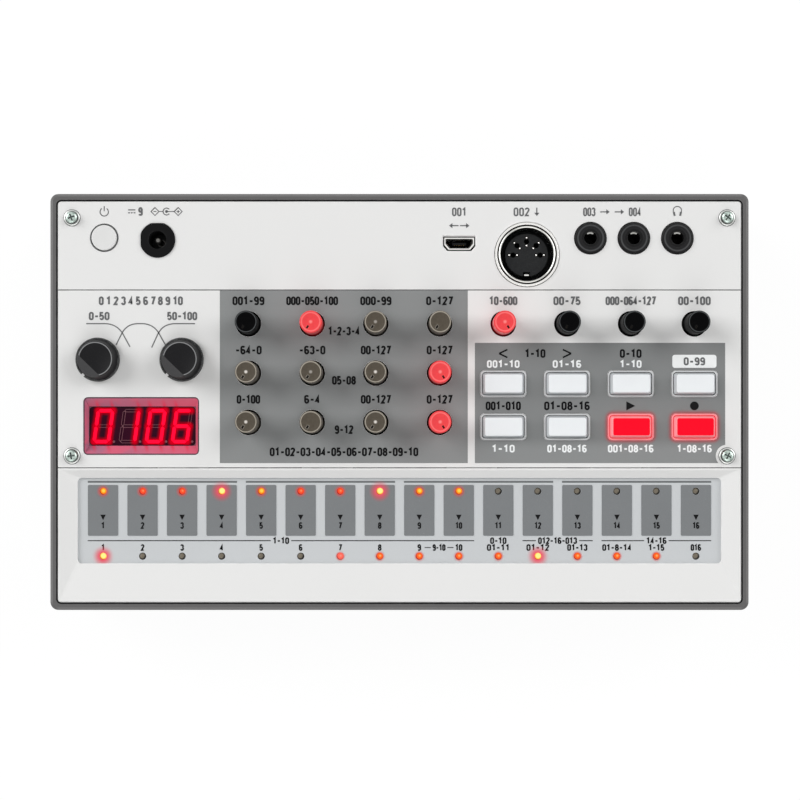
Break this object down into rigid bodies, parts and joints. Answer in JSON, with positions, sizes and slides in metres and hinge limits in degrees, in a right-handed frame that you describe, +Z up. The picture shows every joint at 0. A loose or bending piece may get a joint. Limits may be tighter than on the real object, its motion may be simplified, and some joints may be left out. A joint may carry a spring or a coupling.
{
  "type": "desktop sampler",
  "caption": "Small desktop sampler with a white face: lit knobs, two large dials, a slanted digit display, push keys, a touch strip with numbered pads and a row of sockets.",
  "frame": {"origin": "centre of the footprint, on the plane the feet stand on", "axes": "+X to the right, +Y to the back edge with the sockets, +Z up"},
  "size_m": [0.193, 0.115, 0.045],
  "materials": {
    "case_grey": "fine matt moulded plastic",
    "panel_white": "fine matt white plastic",
    "foot_rubber": "matt rubber",
    "plated_screw": "bright plating",
    "board_green": "coated board",
    "cable_grey": "ribbed flat cable",
    "touch_silver": "satin printed film",
    "lamp_red": "glowing lens",
    "inner_black": "satin black plastic",
    "smoky_clear": "smoky translucent plastic",
    "knob_black": "fine matt black plastic",
    "clear_frame": "clear plastic",
    "smoked_window": "glossy smoked plastic",
    "key_white": "translucent white plastic",
    "power_white": "matt white plastic",
    "bright_metal": "bright plating",
    "shaft_metal": "turned metal",
    "cell_sleeve": "plain printed sleeve"
  },
  "bodies": {
    "housing": {"lower_case": "case_grey", "rubber_feet": "foot_rubber", "top_panel": "panel_white", "touch_bezel": "panel_white", "panel_screws": "plated_screw", "main_board": "board_green", "touch_board": "board_green", "board_screws": "plated_screw", "ribbon_cable": "cable_grey", "touch_sheet": "touch_silver", "step_leds": "lamp_red", "part_leds": "lamp_red", "small_pots": "inner_black", "knob_leds": "lamp_red", "large_pots": "inner_black", "button_frame": "clear_frame", "push_switches": "inner_black", "display_window": "smoked_window", "display_module": "inner_black", "jack_sync_in": "inner_black", "jack_sync_out": "inner_black", "jack_headphones": "inner_black", "dc_socket": "inner_black", "dc_pin": "bright_metal", "din_shell": "bright_metal", "din_insert": "inner_black", "usb_shell": "bright_metal", "usb_tongue": "inner_black", "battery_cells": "cell_sleeve", "battery_contacts": "bright_metal"},
    "sample_knob": {"knob_sample": "knob_black"},
    "start_point_knob": {"knob_start_point": "smoky_clear"},
    "length_knob": {"knob_length": "smoky_clear"},
    "hi_cut_knob": {"knob_hi_cut": "smoky_clear"},
    "speed_knob": {"knob_speed": "smoky_clear"},
    "pitch_eg_int_knob": {"knob_pitch_eg_int": "smoky_clear"},
    "pitch_attack_knob": {"knob_pitch_attack": "smoky_clear"},
    "pitch_decay_knob": {"knob_pitch_decay": "smoky_clear"},
    "level_knob": {"knob_level": "smoky_clear"},
    "pan_knob": {"knob_pan": "smoky_clear"},
    "amp_attack_knob": {"knob_amp_attack": "smoky_clear"},
    "amp_decay_knob": {"knob_amp_decay": "smoky_clear"},
    "tempo_knob": {"knob_tempo": "smoky_clear"},
    "swing_knob": {"knob_swing": "knob_black"},
    "reverb_mix_knob": {"knob_reverb_mix": "knob_black"},
    "volume_knob": {"knob_volume": "knob_black"},
    "bass_knob": {"knob_bass": "knob_black", "shaft_bass": "shaft_metal"},
    "treble_knob": {"knob_treble": "knob_black", "shaft_treble": "shaft_metal"},
    "part_left_key": {"button_part_left": "key_white"},
    "part_right_key": {"button_part_right": "key_white"},
    "mute_key": {"button_mute": "key_white"},
    "func_key": {"button_func": "key_white"},
    "memory_key": {"button_memory": "key_white"},
    "step_mode_key": {"button_step_mode": "key_white"},
    "play_key": {"button_play": "key_white"},
    "record_key": {"button_record": "key_white"},
    "power_button_cap": {"power_button": "power_white"},
    "battery_cover": {"battery_door": "case_grey"}
  },
  "joints": [
    {"name": "sample_knob_turn", "type": "hinge", "parent": "housing", "child": "sample_knob", "pos_m": [-0.0417, 0.02155, 0.036], "axis": [0, 0, 1], "range_deg": [-296, 0]},
    {"name": "start_point_knob_turn", "type": "hinge", "parent": "housing", "child": "start_point_knob", "pos_m": [-0.02411, 0.02155, 0.036], "axis": [0, 0, 1], "range_deg": [-296, 0]},
    {"name": "length_knob_turn", "type": "hinge", "parent": "housing", "child": "length_knob", "pos_m": [-0.00653, 0.02155, 0.036], "axis": [0, 0, 1], "range_deg": [-296, 0]},
    {"name": "hi_cut_knob_turn", "type": "hinge", "parent": "housing", "child": "hi_cut_knob", "pos_m": [0.01106, 0.02155, 0.036], "axis": [0, 0, 1], "range_deg": [-296, 0]},
    {"name": "speed_knob_turn", "type": "hinge", "parent": "housing", "child": "speed_knob", "pos_m": [-0.0417, 0.00795, 0.036], "axis": [0, 0, 1], "range_deg": [-296, 0]},
    {"name": "pitch_eg_int_knob_turn", "type": "hinge", "parent": "housing", "child": "pitch_eg_int_knob", "pos_m": [-0.02411, 0.00795, 0.036], "axis": [0, 0, 1], "range_deg": [-296, 0]},
    {"name": "pitch_attack_knob_turn", "type": "hinge", "parent": "housing", "child": "pitch_attack_knob", "pos_m": [-0.00653, 0.00795, 0.036], "axis": [0, 0, 1], "range_deg": [-296, 0]},
    {"name": "pitch_decay_knob_turn", "type": "hinge", "parent": "housing", "child": "pitch_decay_knob", "pos_m": [0.01106, 0.00795, 0.036], "axis": [0, 0, 1], "range_deg": [0, 296]},
    {"name": "level_knob_turn", "type": "hinge", "parent": "housing", "child": "level_knob", "pos_m": [-0.0417, -0.00565, 0.036], "axis": [0, 0, 1], "range_deg": [-296, 0]},
    {"name": "pan_knob_turn", "type": "hinge", "parent": "housing", "child": "pan_knob", "pos_m": [-0.02411, -0.00565, 0.036], "axis": [0, 0, 1], "range_deg": [-296, 0]},
    {"name": "amp_attack_knob_turn", "type": "hinge", "parent": "housing", "child": "amp_attack_knob", "pos_m": [-0.00653, -0.00565, 0.036], "axis": [0, 0, 1], "range_deg": [-296, 0]},
    {"name": "amp_decay_knob_turn", "type": "hinge", "parent": "housing", "child": "amp_decay_knob", "pos_m": [0.01106, -0.00565, 0.036], "axis": [0, 0, 1], "range_deg": [0, 296]},
    {"name": "tempo_knob_turn", "type": "hinge", "parent": "housing", "child": "tempo_knob", "pos_m": [0.02864, 0.02155, 0.036], "axis": [0, 0, 1], "range_deg": [0, 296]},
    {"name": "swing_knob_turn", "type": "hinge", "parent": "housing", "child": "swing_knob", "pos_m": [0.04623, 0.02155, 0.036], "axis": [0, 0, 1], "range_deg": [-296, 0]},
    {"name": "reverb_mix_knob_turn", "type": "hinge", "parent": "housing", "child": "reverb_mix_knob", "pos_m": [0.06381, 0.02155, 0.036], "axis": [0, 0, 1], "range_deg": [-296, 0]},
    {"name": "volume_knob_turn", "type": "hinge", "parent": "housing", "child": "volume_knob", "pos_m": [0.0814, 0.02155, 0.036], "axis": [0, 0, 1], "range_deg": [-296, 0]},
    {"name": "bass_knob_turn", "type": "hinge", "parent": "housing", "child": "bass_knob", "pos_m": [-0.0831, 0.0116, 0.036], "axis": [0, 0, 1], "range_deg": [-272, 0]},
    {"name": "treble_knob_turn", "type": "hinge", "parent": "housing", "child": "treble_knob", "pos_m": [-0.06, 0.0116, 0.036], "axis": [0, 0, 1], "range_deg": [-272, 0]},
    {"name": "part_left_key_press", "type": "slide", "parent": "housing", "child": "part_left_key", "axis": [0, 0, -1], "range_m": [0, 0.0008], "stiffness_N_per_m": 300, "springref_m": -0.001},
    {"name": "part_right_key_press", "type": "slide", "parent": "housing", "child": "part_right_key", "axis": [0, 0, -1], "range_m": [0, 0.0008], "stiffness_N_per_m": 300, "springref_m": -0.001},
    {"name": "mute_key_press", "type": "slide", "parent": "housing", "child": "mute_key", "axis": [0, 0, -1], "range_m": [0, 0.0008], "stiffness_N_per_m": 300, "springref_m": -0.001},
    {"name": "func_key_press", "type": "slide", "parent": "housing", "child": "func_key", "axis": [0, 0, -1], "range_m": [0, 0.0008], "stiffness_N_per_m": 300, "springref_m": -0.001},
    {"name": "memory_key_press", "type": "slide", "parent": "housing", "child": "memory_key", "axis": [0, 0, -1], "range_m": [0, 0.0008], "stiffness_N_per_m": 300, "springref_m": -0.001},
    {"name": "step_mode_key_press", "type": "slide", "parent": "housing", "child": "step_mode_key", "axis": [0, 0, -1], "range_m": [0, 0.0008], "stiffness_N_per_m": 300, "springref_m": -0.001},
    {"name": "play_key_press", "type": "slide", "parent": "housing", "child": "play_key", "axis": [0, 0, -1], "range_m": [0, 0.0008], "stiffness_N_per_m": 300, "springref_m": -0.001},
    {"name": "record_key_press", "type": "slide", "parent": "housing", "child": "record_key", "axis": [0, 0, -1], "range_m": [0, 0.0008], "stiffness_N_per_m": 300, "springref_m": -0.001},
    {"name": "power_button_press", "type": "slide", "parent": "housing", "child": "power_button_cap", "axis": [0, 0, -1], "range_m": [0, 0.0008], "stiffness_N_per_m": 300, "springref_m": -0.001},
    {"name": "battery_door_tilt", "type": "hinge", "parent": "housing", "child": "battery_cover", "pos_m": [0, 0.023, 0.0015], "axis": [1, 0, 0], "range_deg": [0, 75]}
  ]
}
